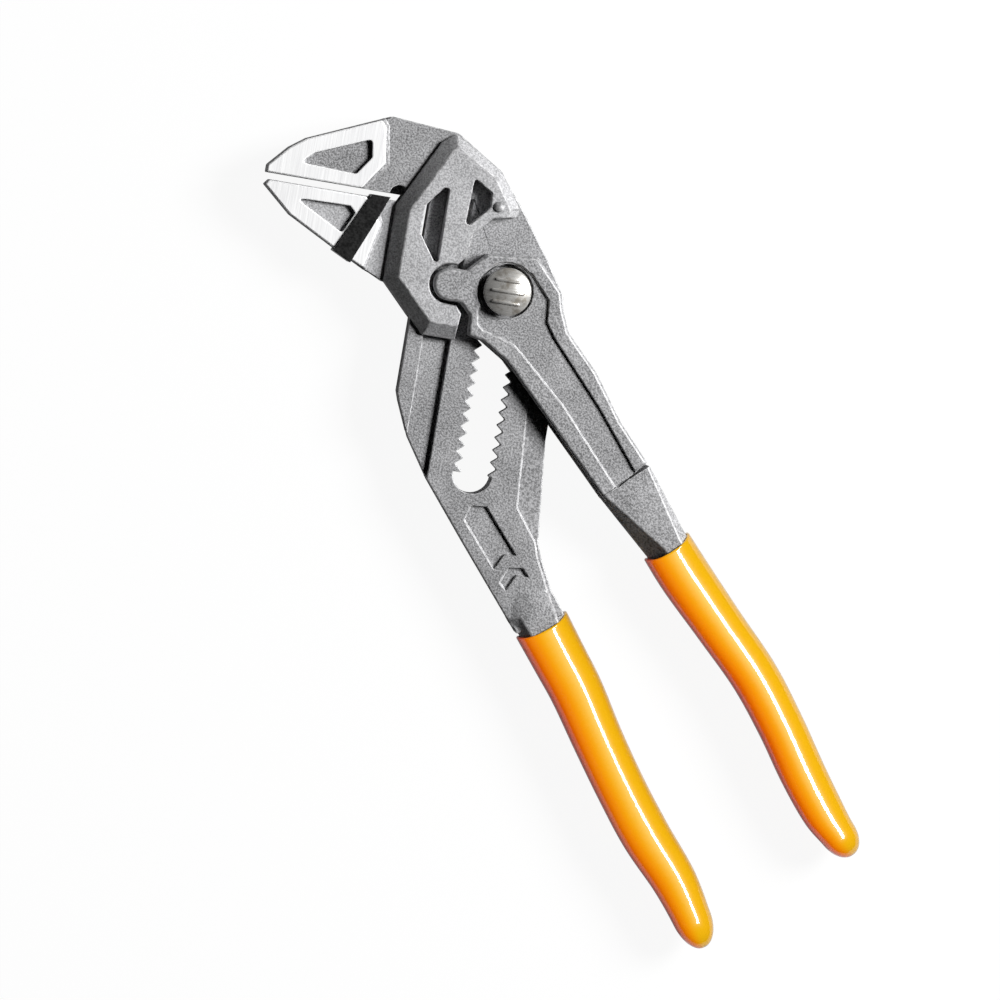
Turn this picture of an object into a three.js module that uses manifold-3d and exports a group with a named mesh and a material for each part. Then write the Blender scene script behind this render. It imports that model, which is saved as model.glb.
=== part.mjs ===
// Push-button pliers wrench with parallel jaws, lying on its back: millimetres, +Z towards the button side.
// Inside the model the pivot axis is X = Y = 0 and the mid-plane is Z = 0. X runs along the jaw faces, with the
// jaws pointing to -X, and Y runs along the toothed slot, with +Y closing the sliding jaw.
import * as THREE from 'three';
import { mergeVertices } from 'three/addons/utils/BufferGeometryUtils.js';
import Module from 'manifold-3d';

const wasm = await Module();
wasm.setup();

// Thickness through the head
const BODY_THICK = 8.8;
const CHEEK_THICK = 4.3;
const SLIDE_GAP = 0.3;
const PAD_RAISE = 0.9;
const SHOULDER_RAISE = 0.3;
const FIT_GAP = 0.1;

// Jaws
const JAW_FACE_Y = 21.6;
const JAW_GAP = 1.8;
const JAW_TIP_X = -71.6;
const JAW_RECESS_DEPTH = 1.5;
const PAD_BEVEL = 1.1;
const PAD_EDGE_BREAK = 0.3;
const PAD_ROOT_X = -44;
const RELIEF_X = -34;
const RELIEF_RADIUS = 2.6;
const RELIEF_DEPTH = 6;

// Guide edge and guide grooves of the fixed lever
const GUIDE_X = -25.2;
const WEB_THICK = 8.9;
const GROOVE_LEFT_X = -20.7;
const GROOVE_WIDTH = 7.7;
const GROOVE_DEPTH = 1.6;
const RIB_HEIGHT = 1.5;
const RIB_LENGTH = 36;
const RIB_LOW_Y = -14;

// Toothed slot and bolt
const TOOTH_PITCH = 3.555;
const TOOTH_TIP_HALF = 3.85;
const TOOTH_DEPTH = 2.1;
const TOOTH_LAYER = 2.9;
const TOOTH_PLAY = 0.35;
const ADJUST_STEPS = 12;
const SPARE_STEPS = 2;
const SLOT_END_RADIUS = 5.5;
const SLOT_END_X = -0.6;
const SLOT_END_DROP = 0.5;
const COLLAR_STEPS = 3;
const COLLAR_THICK = 2.4;
const NECK_RADIUS = 5.4;
const STEM_RADIUS = 3;
const BOLT_PLAY = 0.15;
const PRESS_TRAVEL = 3.2;

// Button, spring and washer
const BUTTON_RADIUS = 6.7;
const BUTTON_WALL = 0.8;
const BUTTON_PLAY = 0.8;
const BUTTON_CAVITY = 1.6;
const BUTTON_SKIRT = 2;
const BUTTON_DOME = 1.9;
const BUTTON_SOCKET = 1.1;
const BUTTON_RIB_RAISE = 0.5;
const BUTTON_RIB_SPACING = 3;
const BUTTON_RIB_WIDTH = 1.1;
const COUNTERBORE_FLOOR = 0.9;
const WASHER_THICK = 0.4;
const SPRING_WIRE = 0.6;
const SPRING_TURNS = 2;
const SPRING_PLAY = 0.5;

// Sliding jaw plate
const PLATE_WALL = 0.8;
const PLATE_BEVEL = 3.8;
const PLATE_SIDE_BEVEL = 2.6;
const PLATE_CROWN_BEVEL = 3.3;
const PLATE_EDGE_BREAK = 0.35;
const SOCKET_PLAY = 0.9;
const RIVET_X = -6.1;
const RIVET_Y = 22.9;
const RIVET_HEAD_RADIUS = 1.5;
const RIVET_HEAD_RAISE = 0.9;
const RIVET_SHANK_RADIUS = 0.9;
const RIVET_SHANK_LENGTH = 2;

// Pivot lever
const KNUCKLE_X = -16.1;
const KNUCKLE_Y = -0.6;
const KNUCKLE_RADIUS = 4.6;
const PANEL_DEPTH = 0.9;
const PANEL_MARGIN = 0.8;
const LEVER_EDGE_BREAK = 0.7;

// Band round the sliding jaw
const BAND_WIDTH = 5.4;
const BAND_THICK = 0.6;
const BAND_PLAY = 0.12;
const BAND_TOP_X = -38.8;
const BAND_LEAN = 0.52;

// Grips and tangs
const GRIP_WALL = 1;
const GRIP_PLAY = 0.15;
const GRIP_HALF_THICK = 7.2;
const GRIP_SIDES = 20;
const TANG_TIP_COVER = 9;
const FLANGE_STEP = 0.8;
const LABEL_DEPTH = 1;
const HANDLE_CLEARANCE = 0.8;
const RELIEF_RUN_OUT = 14;

// Derived heights, measured from the mid-plane
const BODY_HALF = BODY_THICK / 2;
const CHEEK_IN = BODY_HALF + SLIDE_GAP;
const CHEEK_OUT = CHEEK_IN + CHEEK_THICK;
const PAD_HALF = BODY_HALF + PAD_RAISE;
const SHOULDER_HALF = CHEEK_OUT + SHOULDER_RAISE;
const LOWER_FACE_Y = JAW_FACE_Y - JAW_GAP;
const WEB_INNER_X = GUIDE_X - SLIDE_GAP;
const WEB_OUTER_X = WEB_INNER_X - WEB_THICK;
const GROOVE_RIGHT_X = GROOVE_LEFT_X + GROOVE_WIDTH;
const TOOTH_ROOT_HALF = TOOTH_TIP_HALF + TOOTH_DEPTH;
const ADJUST_TRAVEL = ADJUST_STEPS * TOOTH_PITCH;
const BOLT_DISC_RADIUS = BUTTON_RADIUS + BOLT_PLAY;
const CORNER_STEPS = 3;
const ROUND_STEPS = 32;
const FRONT = 1;
const REAR = -1;
const SIDES = [FRONT, REAR];

// Points of an arc, from one angle to another in degrees
function arc(x, y, radius, from, to, steps) {
  const points = [];
  for (let i = 0; i <= steps; i += 1) {
    const angle = THREE.MathUtils.degToRad(from + ((to - from) * i) / steps);
    points.push([x + radius * Math.cos(angle), y + radius * Math.sin(angle)]);
  }
  return points;
}

function circle(x, y, radius) {
  return arc(x, y, radius, 0, 360 - 360 / ROUND_STEPS, ROUND_STEPS - 1);
}

// Outline with every corner replaced by an arc of the given radius
function rounded(points, radius) {
  const result = [];
  points.forEach((point, i) => {
    const here = new THREE.Vector2(...point);
    const before = new THREE.Vector2(...points[(i + points.length - 1) % points.length]).sub(here);
    const after = new THREE.Vector2(...points[(i + 1) % points.length]).sub(here);
    const half = Math.abs(before.angleTo(after)) / 2;
    const longest = 0.45 * Math.min(before.length(), after.length());
    const tangent = Math.min(radius / Math.tan(half), longest);
    const start = here.clone().addScaledVector(before.normalize(), tangent);
    const end = here.clone().addScaledVector(after.normalize(), tangent);
    const curve = new THREE.QuadraticBezierCurve(start, here, end);
    curve.getPoints(CORNER_STEPS).forEach((p) => result.push([p.x, p.y]));
  });
  return result;
}

function counterClockwise(points) {
  const area = THREE.ShapeUtils.area(points.map(([x, y]) => ({ x, y })));
  return area < 0 ? [...points].reverse() : points;
}

// Outline moved inwards, each edge by its own width
function inset(points, widths) {
  const count = points.length;
  const lines = points.map((point, i) => {
    const start = new THREE.Vector2(...point);
    const along = new THREE.Vector2(...points[(i + 1) % count]).sub(start).normalize();
    const inward = new THREE.Vector2(-along.y, along.x);
    return { start: start.addScaledVector(inward, widths[i]), along };
  });
  return lines.map((line, i) => {
    const last = lines[(i + count - 1) % count];
    const turn = last.along.cross(line.along);
    if (Math.abs(turn) < 1e-6) return [line.start.x, line.start.y];
    const reach = line.start.clone().sub(last.start).cross(line.along) / turn;
    const corner = last.start.clone().addScaledVector(last.along, reach);
    return [corner.x, corner.y];
  });
}

function solid(geometry) {
  geometry.deleteAttribute('normal');
  geometry.deleteAttribute('uv');
  const merged = mergeVertices(geometry, 1e-5);
  const vertProperties = new Float32Array(merged.attributes.position.array);
  const triVerts = new Uint32Array(merged.index.array);
  return new wasm.Manifold(new wasm.Mesh({ numProp: 3, vertProperties, triVerts }));
}

// Closed solid through a row of rings, each ring a list of [x, y, z] with the same number of points
function loft(rings) {
  const count = rings[0].length;
  const positions = rings.flat(2);
  const triangles = [];
  for (let r = 0; r + 1 < rings.length; r += 1) {
    for (let i = 0; i < count; i += 1) {
      const a = r * count + i;
      const b = r * count + ((i + 1) % count);
      triangles.push(a, b, b + count, a, b + count, a + count);
    }
  }
  const flat = (ring) => {
    const centre = ring[0].map((_, k) => ring.reduce((sum, p) => sum + p[k], 0) / count);
    positions.push(...centre);
    return positions.length / 3 - 1;
  };
  const first = flat(rings[0]);
  const last = flat(rings[rings.length - 1]);
  const top = (rings.length - 1) * count;
  for (let i = 0; i < count; i += 1) {
    const next = (i + 1) % count;
    triangles.push(first, next, i, last, top + i, top + next);
  }
  const geometry = new THREE.BufferGeometry();
  geometry.setAttribute('position', new THREE.Float32BufferAttribute(positions, 3));
  geometry.setIndex(triangles);
  return solid(geometry);
}

// Straight-walled plate of an outline between two distances from the mid-plane, on one side of it
function plate(points, near, far, side = FRONT) {
  const shape = new THREE.Shape(points.map(([x, y]) => new THREE.Vector2(x, y)));
  const geometry = new THREE.ExtrudeGeometry(shape, { depth: far - near, bevelEnabled: false });
  geometry.translate(0, 0, side === FRONT ? near : -far);
  return solid(geometry);
}

// Plate whose upper edge is bevelled, each outline edge by its own width
function bevelledPlate(points, widths, near, wallTop, far, side) {
  const outline = counterClockwise(points);
  const levels = [[outline, near], [outline, wallTop], [inset(outline, widths), far]];
  const faces = THREE.ShapeUtils.triangulateShape(outline.map(([x, y]) => new THREE.Vector2(x, y)), []);
  const count = outline.length;
  const positions = levels.flatMap(([ring, z]) => ring.flatMap(([x, y]) => [x, y, side * z]));
  const triangles = [];
  for (let level = 0; level + 1 < levels.length; level += 1) {
    for (let i = 0; i < count; i += 1) {
      const a = level * count + i;
      const b = level * count + ((i + 1) % count);
      triangles.push([a, b, b + count], [a, b + count, a + count]);
    }
  }
  const top = (levels.length - 1) * count;
  faces.forEach(([a, b, c]) => triangles.push([a, c, b], [top + a, top + b, top + c]));
  const index = triangles.flatMap(([a, b, c]) => (side === FRONT ? [a, b, c] : [a, c, b]));
  const geometry = new THREE.BufferGeometry();
  geometry.setAttribute('position', new THREE.Float32BufferAttribute(positions, 3));
  geometry.setIndex(index);
  return solid(geometry);
}

// Turned solid about a Z axis: profile is a list of [radius, z]
function turned(profile, x = 0, y = 0) {
  const geometry = new THREE.LatheGeometry(profile.map(([r, z]) => new THREE.Vector2(r, z)), ROUND_STEPS);
  geometry.rotateX(Math.PI / 2);
  geometry.translate(x, y, 0);
  const body = solid(geometry);
  return body;
}

function drum(radius, low, high, x = 0, y = 0) {
  return turned([[0, low], [radius, low], [radius, high], [0, high]], x, y);
}

// Every handle station is [x, y, half width]: the centre line runs through them to the tip
const FIXED_STATIONS = [
  [26, -90.6, 8],
  [32.7, -99.3, 7.75],
  [39.3, -107.9, 7.55],
  [47.6, -120.5, 7.2],
  [56.8, -133.6, 7.05],
  [65.6, -145, 7],
  [75.5, -156.1, 6.4],
  [82.6, -166.3, 5.5],
];
const FIXED_TIP = [87.2, -173.7];
const PIVOT_STATIONS = [
  [57.2, -63.1, 7.3],
  [64.4, -71.1, 7.4],
  [76.1, -83, 7],
  [88.2, -95.3, 6.8],
  [98, -107.9, 6.6],
  [106.4, -120.1, 6.5],
  [114.2, -130.3, 6.1],
  [119.8, -136.1, 5.2],
];
const PIVOT_TIP = [124.8, -140.9];

// Centre line of a handle with its direction and half width at a share of its length
function handleLine(stations, tip) {
  const path = new THREE.CatmullRomCurve3(
    [...stations, [...tip, 0]].map(([x, y]) => new THREE.Vector3(x, y, 0)),
    false,
    'centripetal',
  );
  const widths = [...stations.map((s) => s[2]), 0];
  return (share) => {
    const place = Math.min(share, 1) * stations.length;
    const low = Math.min(Math.floor(place), stations.length - 1);
    const half = THREE.MathUtils.lerp(widths[low], widths[low + 1], place - low);
    return { point: path.getPoint(share), along: path.getTangent(share), half };
  };
}

// Rounded cross-section round a handle's centre line
function ovalRing(place, halfWidth, halfThick, squareness) {
  const across = new THREE.Vector3(-place.along.y, place.along.x, 0);
  const ring = [];
  for (let i = 0; i < GRIP_SIDES; i += 1) {
    const angle = (2 * Math.PI * i) / GRIP_SIDES;
    const c = Math.cos(angle);
    const s = Math.sin(angle);
    const w = Math.sign(c) * Math.abs(c) ** squareness * halfWidth;
    const t = Math.sign(s) * Math.abs(s) ** squareness * halfThick;
    ring.push([place.point.x + across.x * w, place.point.y + across.y * w, t]);
  }
  return ring;
}

const GRIP_SQUARENESS = 0.75;
const GRIP_RINGS = 12;
const TIP_RINGS = [0.35, 0.62, 0.82, 0.94, 0.99];

// Sleeve's outer form, grown by a clearance: rings down the handle, then a round tip
function gripRings(stations, tip, clearance) {
  const line = handleLine(stations, tip);
  const lastShare = (stations.length - 1) / stations.length;
  const rings = [];
  for (let i = 0; i <= GRIP_RINGS; i += 1) {
    const place = line((lastShare * i) / GRIP_RINGS);
    const thin = THREE.MathUtils.lerp(1, 0.8, i / GRIP_RINGS);
    rings.push(ovalRing(place, place.half + clearance, GRIP_HALF_THICK * thin + clearance, GRIP_SQUARENESS));
  }
  const end = line(lastShare);
  TIP_RINGS.forEach((reach) => {
    const place = line(lastShare + (1 - lastShare) * reach);
    const shrink = Math.sqrt(1 - reach * reach);
    const halfThick = GRIP_HALF_THICK * 0.8 + clearance;
    rings.push(ovalRing(place, (end.half + clearance) * shrink, halfThick * shrink, GRIP_SQUARENESS));
  });
  return rings;
}

// Chamfered section of a tang: chamfers are [across, through] on its left and right edges
function tangRing(place, halfWidth, halfThick, { left, right }) {
  const across = new THREE.Vector3(-place.along.y, place.along.x, 0);
  const corners = [
    [halfWidth, halfThick - right[1]],
    [halfWidth - right[0], halfThick],
    [-halfWidth + left[0], halfThick],
    [-halfWidth, halfThick - left[1]],
    [-halfWidth, -halfThick + left[1]],
    [-halfWidth + left[0], -halfThick],
    [halfWidth - right[0], -halfThick],
    [halfWidth, -halfThick + right[1]],
  ];
  return corners.map(([w, t]) => [place.point.x + across.x * w, place.point.y + across.y * w, t]);
}

const FIXED_CHAMFERS = { left: [2.6, 2.6], right: [2.6, 2.6] };
const PIVOT_CHAMFERS = { left: [5, 4.4], right: [2.4, 2.4] };
const TANG_RINGS = 7;

// Rings of the tang inside its sleeve, from the sleeve's mouth to a little before its tip
function tangRings(stations, tip, play, chamfers) {
  const line = handleLine(stations, tip);
  const shareOfTip = TANG_TIP_COVER / line(0).point.distanceTo(new THREE.Vector3(...tip, 0));
  const rings = [];
  for (let i = 0; i <= TANG_RINGS; i += 1) {
    const share = ((1 - shareOfTip) * i) / TANG_RINGS;
    const place = line(share);
    const thin = THREE.MathUtils.lerp(1, 0.8, share);
    const halfWidth = place.half - GRIP_WALL - GRIP_PLAY + play;
    const halfThick = GRIP_HALF_THICK * thin - GRIP_WALL - GRIP_PLAY + play;
    rings.push(tangRing(place, halfWidth, halfThick, chamfers));
  }
  return rings;
}

// Sleeve with a blind bore that fits its tang; the bore runs out of the sleeve's mouth
function grip(stations, tip, chamfers) {
  const line = handleLine(stations, tip);
  const rings = tangRings(stations, tip, GRIP_PLAY, chamfers);
  const mouth = line(0);
  const outside = { ...mouth, point: mouth.point.clone().addScaledVector(mouth.along, -GRIP_WALL) };
  const halfWidth = mouth.half - GRIP_WALL;
  const halfThick = GRIP_HALF_THICK - GRIP_WALL;
  const bore = loft([tangRing(outside, halfWidth, halfThick, chamfers), ...rings]);
  return loft(gripRings(stations, tip, 0)).subtract(bore);
}

// Fixed lever: upper jaw, guide body, toothed slot and tang
const UPPER_JAW_BACK = [
  [JAW_TIP_X, JAW_FACE_Y + 2.2],
  [-66.4, 29.6],
  [-61.9, 32.9],
  [-39.3, 42.8],
];
const HEAD_EDGE = [
  [-20.3, 41.3],
  [-7, 33],
  [0.4, 23.9],
  [9.7, 11.2],
  [16.2, 1.2],
  [18.3, -8.4],
  [18.2, -39.5],
  [21, -67.8],
  [22.6, -72.2],
  [29.3, -85.3],
];
const BODY_LEFT_EDGE = [
  [19.3, -94.3],
  [0.1, -71.4],
  [-13.1, -55.3],
  [-20.1, -44.9],
  [-24.3, -35.3],
  [GUIDE_X, -32.6],
  [GUIDE_X, JAW_FACE_Y],
];
const UPPER_PAD = [
  [JAW_TIP_X, JAW_FACE_Y],
  ...UPPER_JAW_BACK.slice(0, 3),
  [-41.4, 41.8],
  [-40, 40],
  [-38.3, 29.5],
  [-43.6, JAW_FACE_Y],
];
const UPPER_RECESS = [
  [-62.8, 25.9],
  [-59.2, 29.2],
  [-43.9, 35.6],
  [-43.1, 30.6],
  [-46.8, 25.3],
];
const FLANGE = [
  [11, -22.4],
  [13.4, -59.2],
  [20, -68],
  [21.6, -72.7],
  [29.5, -88],
  [35, -84],
  [35, -22.4],
];
const LABEL = [
  [0.6, -60.8],
  [5, -60.4],
  [15.5, -72.6],
  [12.1, -72.8],
  [9.9, -77.4],
  [-0.8, -64.9],
];
const CHEVRON = [
  [13.9, -76.3],
  [18, -75.8],
  [20, -78.1],
  [16.4, -77.9],
  [14.2, -82.7],
  [12.1, -80.8],
];
const FIXED_NECK = { x: 17.6, y: -81, halfWidth: 7.2, crestHalf: 0.2, rise: 0.6, chamfer: [3, 1.4] };

// Half width of the toothed slot: roots lie at whole pitches and tips halfway between them
function slotHalf(step) {
  return step % 2 === 0 ? TOOTH_ROOT_HALF : TOOTH_TIP_HALF;
}

// Zigzag outline from one half step of the pitch to another, drawn in by some play
function toothOutline(fromHalfStep, toHalfStep, play) {
  const right = [];
  for (let step = fromHalfStep; step <= toHalfStep; step += 1) {
    right.push([slotHalf(step) - play, (step * TOOTH_PITCH) / 2]);
  }
  const left = right.map(([x, y]) => [-x, y]).reverse();
  return [...right, ...left];
}

// Raised ground side of a jaw: sharp at the jaw's own edges and bevelled towards its root
function jawPad(outline, side) {
  const points = counterClockwise(outline);
  const bevels = points.map(([x], i) => {
    const next = points[(i + 1) % points.length][0];
    return Math.min(x, next) > PAD_ROOT_X ? PAD_BEVEL : PAD_EDGE_BREAK;
  });
  return bevelledPlate(points, bevels, 0, BODY_HALF + FIT_GAP, PAD_HALF, side);
}

function fixedJawLever() {
  const outline = [
    [JAW_TIP_X, JAW_FACE_Y],
    ...UPPER_JAW_BACK,
    ...HEAD_EDGE,
    ...BODY_LEFT_EDGE,
  ];
  let lever = plate(outline, -BODY_HALF, BODY_HALF);
  const line = handleLine(FIXED_STATIONS, FIXED_TIP);
  const { along, point: mouth } = line(0);
  const apex = new THREE.Vector3(FIXED_NECK.x, FIXED_NECK.y, 0);
  const brow = apex.clone().lerp(mouth, FIXED_NECK.rise);
  const ridge = [FIXED_NECK.halfWidth - FIXED_NECK.crestHalf, BODY_HALF / 2];
  const browHalf = GRIP_HALF_THICK - GRIP_WALL - GRIP_PLAY;
  const browEdges = { left: FIXED_NECK.chamfer, right: FIXED_NECK.chamfer };
  const hump = [
    tangRing({ point: apex, along }, FIXED_NECK.halfWidth, BODY_HALF, { left: ridge, right: ridge }),
    tangRing({ point: brow, along }, FIXED_NECK.halfWidth, browHalf, browEdges),
  ];
  lever = lever.add(loft([...hump, ...tangRings(FIXED_STATIONS, FIXED_TIP, 0, FIXED_CHAMFERS)]));
  SIDES.forEach((side) => {
    lever = lever.add(jawPad(UPPER_PAD, side));
    const recess = plate(rounded(UPPER_RECESS, 1), PAD_HALF - JAW_RECESS_DEPTH, PAD_HALF + 1, side);
    lever = lever.subtract(recess);
    const groove = [
      [GROOVE_LEFT_X, RIB_LOW_Y + RIB_LENGTH + JAW_GAP],
      [GROOVE_RIGHT_X, RIB_LOW_Y + RIB_LENGTH + JAW_GAP],
      [GROOVE_RIGHT_X, -60],
      [GROOVE_LEFT_X, -60],
    ];
    lever = lever.subtract(plate(groove, BODY_HALF - GROOVE_DEPTH, BODY_HALF + 1, side));
    lever = lever.subtract(plate(FLANGE, BODY_HALF - FLANGE_STEP, BODY_HALF + 1, side));
  });
  [LABEL, CHEVRON].forEach((mark) => {
    lever = lever.subtract(plate(mark, BODY_HALF - LABEL_DEPTH, BODY_HALF + 1));
  });
  lever = lever.subtract(
    drum(RELIEF_RADIUS, BODY_HALF - RELIEF_DEPTH, SHOULDER_HALF, RELIEF_X, JAW_FACE_Y),
  );
  return cutSlot(lever);
}

// Toothed layer at the front, and a plain wider layer behind it where the pressed collar runs free
function cutSlot(lever) {
  const lowest = -2 * (ADJUST_STEPS + SPARE_STEPS) - 1;
  const teeth = toothOutline(lowest, COLLAR_STEPS, 0);
  const topY = (COLLAR_STEPS * TOOTH_PITCH) / 2;
  const bottomY = (lowest * TOOTH_PITCH) / 2;
  const endY = bottomY - SLOT_END_DROP;
  const half = TOOTH_ROOT_HALF + SLIDE_GAP;
  const collarReach = topY + TOOTH_PLAY + SLIDE_GAP;
  const rectangle = (width, low, high) => [[-width, low], [width, low], [width, high], [-width, high]];
  const layerFloor = BODY_HALF - TOOTH_LAYER;
  let result = lever.subtract(plate(teeth, layerFloor - 1, BODY_HALF + 1));
  const ends = rectangle(TOOTH_TIP_HALF, endY - SLIDE_GAP, topY + SLIDE_GAP);
  result = result.subtract(plate(ends, layerFloor - 1, BODY_HALF + 1));
  const roundEnd = arc(SLOT_END_X, endY, SLOT_END_RADIUS, 180, 360, ROUND_STEPS / 2);
  result = result.subtract(plate(roundEnd, -BODY_HALF - 1, BODY_HALF + 1));
  const plainTop = Math.max(collarReach, NECK_RADIUS + SLIDE_GAP);
  const plain = rectangle(half, endY, plainTop);
  return result.subtract(plate(plain, -BODY_HALF - 1, layerFloor));
}

// Sliding jaw: lower jaw, web beside the guide edge, and a cheek with a guide rib on either side
const LOWER_JAW_EDGE = [
  [-34.3, -3.2],
  [-44.3, 1.4],
  [-49.5, 3.9],
  [-63.2, 11],
];
const LOWER_PAD = [
  [JAW_TIP_X, LOWER_FACE_Y - 1.5],
  [JAW_TIP_X + 1.2, LOWER_FACE_Y],
  [-42, LOWER_FACE_Y],
  [-37, 12.8],
  [-39.8, -0.5],
  ...LOWER_JAW_EDGE.slice(1),
];
const LOWER_RECESS = [
  [-62.6, 16],
  [-46.9, 16.3],
  [-45.2, 14.6],
  [-48, 8.5],
];
const CHEEK_TOP_EDGE = [
  [-24.6, 38.2],
  [-20.9, 41],
  [-6.7, 32.8],
  [0.1, 23.1],
  [-0.6, 20.7],
  [-7.1, 19.1],
  [-11.7, 13.9],
];
const CHEEK_LOW_EDGE = [
  [-11.3, -8.2],
  [-12, -15.8],
  [-21.3, -15.8],
  [WEB_OUTER_X, -2.5],
  [WEB_OUTER_X, 18.8],
];
const FIRST_WINDOW = [
  [-26.5, 19.9],
  [-21.9, 25.8],
  [-20.6, 25.5],
  [-20.4, 5.1],
  [-21.5, 4.9],
  [-26.6, 12.2],
];
const SECOND_WINDOW = [
  [-14.1, 29.8],
  [-8.6, 26.4],
  [-8.4, 22.4],
  [-13.4, 16.6],
  [-14.6, 16.9],
];

// Outline of a cheek and the bevel width of each of its edges
function cheekOutline() {
  const radius = KNUCKLE_RADIUS + SOCKET_PLAY;
  const mouth = [
    [KNUCKLE_X + 3.5, KNUCKLE_Y + radius + 2.5],
    [KNUCKLE_X + 1.3, KNUCKLE_Y + radius],
  ];
  const socket = arc(KNUCKLE_X, KNUCKLE_Y, radius, 90, 270, ROUND_STEPS / 2);
  const lip = [[KNUCKLE_X + 3, KNUCKLE_Y - radius]];
  const points = [...CHEEK_TOP_EDGE, ...mouth, ...socket, ...lip, ...CHEEK_LOW_EDGE];
  const wide = new Map([
    [0, PLATE_CROWN_BEVEL],
    [1, PLATE_SIDE_BEVEL],
    [2, PLATE_SIDE_BEVEL],
    [3, PLATE_SIDE_BEVEL],
    [points.length - 4, PLATE_BEVEL],
    [points.length - 3, PLATE_BEVEL],
    [points.length - 2, PLATE_BEVEL],
    [points.length - 1, PLATE_BEVEL],
  ]);
  const widths = points.map((_, i) => wide.get(i) ?? PLATE_EDGE_BREAK);
  const order = points.map((_, i) => i).reverse();
  return {
    points: order.map((i) => points[i]),
    widths: order.map((i) => widths[(i + points.length - 1) % points.length]),
  };
}

function slidingJaw() {
  const jawOutline = [
    [JAW_TIP_X, LOWER_FACE_Y - 1.5],
    [JAW_TIP_X + 1.2, LOWER_FACE_Y],
    [WEB_INNER_X, LOWER_FACE_Y],
    [WEB_INNER_X, -11.5],
    [WEB_OUTER_X, -2.5],
    ...LOWER_JAW_EDGE,
  ];
  let jaw = plate(jawOutline, -BODY_HALF, BODY_HALF);
  const web = [
    [WEB_OUTER_X, -2.5],
    [WEB_OUTER_X, 18.8],
    [WEB_INNER_X, LOWER_FACE_Y],
    [WEB_INNER_X, -11.5],
  ];
  jaw = jaw.add(plate(web, -CHEEK_IN - FIT_GAP, CHEEK_IN + FIT_GAP));
  const { points, widths } = cheekOutline();
  SIDES.forEach((side) => {
    jaw = jaw.add(bevelledPlate(points, widths, CHEEK_IN, CHEEK_IN + PLATE_WALL, CHEEK_OUT, side));
    jaw = jaw.add(jawPad(LOWER_PAD, side));
    jaw = jaw.subtract(plate(rounded(LOWER_RECESS, 0.8), PAD_HALF - JAW_RECESS_DEPTH, PAD_HALF + 1, side));
    const rib = [
      [GROOVE_LEFT_X + SLIDE_GAP, RIB_LOW_Y],
      [GROOVE_RIGHT_X - SLIDE_GAP, RIB_LOW_Y],
      [GROOVE_RIGHT_X - SLIDE_GAP, KNUCKLE_Y - KNUCKLE_RADIUS - SOCKET_PLAY],
      [GROOVE_LEFT_X + SLIDE_GAP, KNUCKLE_Y - KNUCKLE_RADIUS - SOCKET_PLAY],
    ];
    const upperRib = [
      [GROOVE_LEFT_X + SLIDE_GAP, KNUCKLE_Y + KNUCKLE_RADIUS + SOCKET_PLAY],
      [GROOVE_RIGHT_X - SLIDE_GAP, KNUCKLE_Y + KNUCKLE_RADIUS + SOCKET_PLAY + 2.5],
      [GROOVE_RIGHT_X - SLIDE_GAP, RIB_LOW_Y + RIB_LENGTH],
      [GROOVE_LEFT_X + SLIDE_GAP, RIB_LOW_Y + RIB_LENGTH],
    ];
    const ribTop = CHEEK_IN - RIB_HEIGHT;
    jaw = jaw.add(plate(rib, ribTop, CHEEK_IN + FIT_GAP, side));
    jaw = jaw.add(plate(upperRib, ribTop, CHEEK_IN + FIT_GAP, side));
    [FIRST_WINDOW, SECOND_WINDOW].forEach((window) => {
      jaw = jaw.subtract(plate(rounded(window, 0.7), 0, CHEEK_OUT + 1, side));
    });
  });
  const holeDepth = RIVET_SHANK_LENGTH + FIT_GAP;
  const hole = drum(RIVET_SHANK_RADIUS + FIT_GAP, CHEEK_OUT - holeDepth, CHEEK_OUT + 1, RIVET_X, RIVET_Y);
  return jaw.subtract(hole);
}

// Domed rivet seated in the corner of the front cheek
function cheekRivet() {
  const seat = CHEEK_OUT + FIT_GAP;
  const dome = [];
  for (let i = 0; i <= CORNER_STEPS * 2; i += 1) {
    const angle = (Math.PI / 2) * (i / (CORNER_STEPS * 2));
    dome.push([RIVET_HEAD_RADIUS * Math.cos(angle), seat + RIVET_HEAD_RAISE * Math.sin(angle)]);
  }
  dome[dome.length - 1][0] = 0;
  const shank = [[0, seat - RIVET_SHANK_LENGTH], [RIVET_SHANK_RADIUS, seat - RIVET_SHANK_LENGTH]];
  return turned([...shank, [RIVET_SHANK_RADIUS, seat], ...dome], RIVET_X, RIVET_Y);
}

// Pivot lever: forked head with a knuckle finger, and an arm that runs into a tang
const LEVER_UPPER_EDGE = [
  [-7.1, 9.5],
  [6.9, 11],
  [15.2, 2.3],
  [16.4, -2.3],
  [19, -8.3],
  [28.7, -18.2],
  [37.6, -30.5],
  [47, -40.6],
];
const LEVER_LOWER_EDGE = [
  [36.8, -52.8],
  [17.8, -33.8],
  [3.3, -19.4],
  [-3.8, -15],
  [-8.8, -13.9],
  [-9.2, -8.3],
];
const LEVER_PANEL = [
  [-7.2, -6.8],
  [-6.6, -10.3],
  [-4.7, -11.9],
  [-0.6, -12.8],
  [4.5, -14.4],
  [7.3, -16.7],
  [20.9, -28.8],
  [39.7, -49.4],
  [44.3, -43.9],
  [31.6, -28.2],
  [19.8, -15.3],
  [15.4, -10.5],
  [12.7, -6.6],
  [12.1, -0.3],
  [6.1, 6.3],
  [-2.3, 6.4],
];
const ARM_CORE = [
  [21.6, -0.4],
  [21.6, -12.4],
  [26.5, -30.4],
  [34, -41.4],
  [37, -47.4],
  [31, -60.4],
  [71, -60.4],
  [71, -0.4],
];

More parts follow.
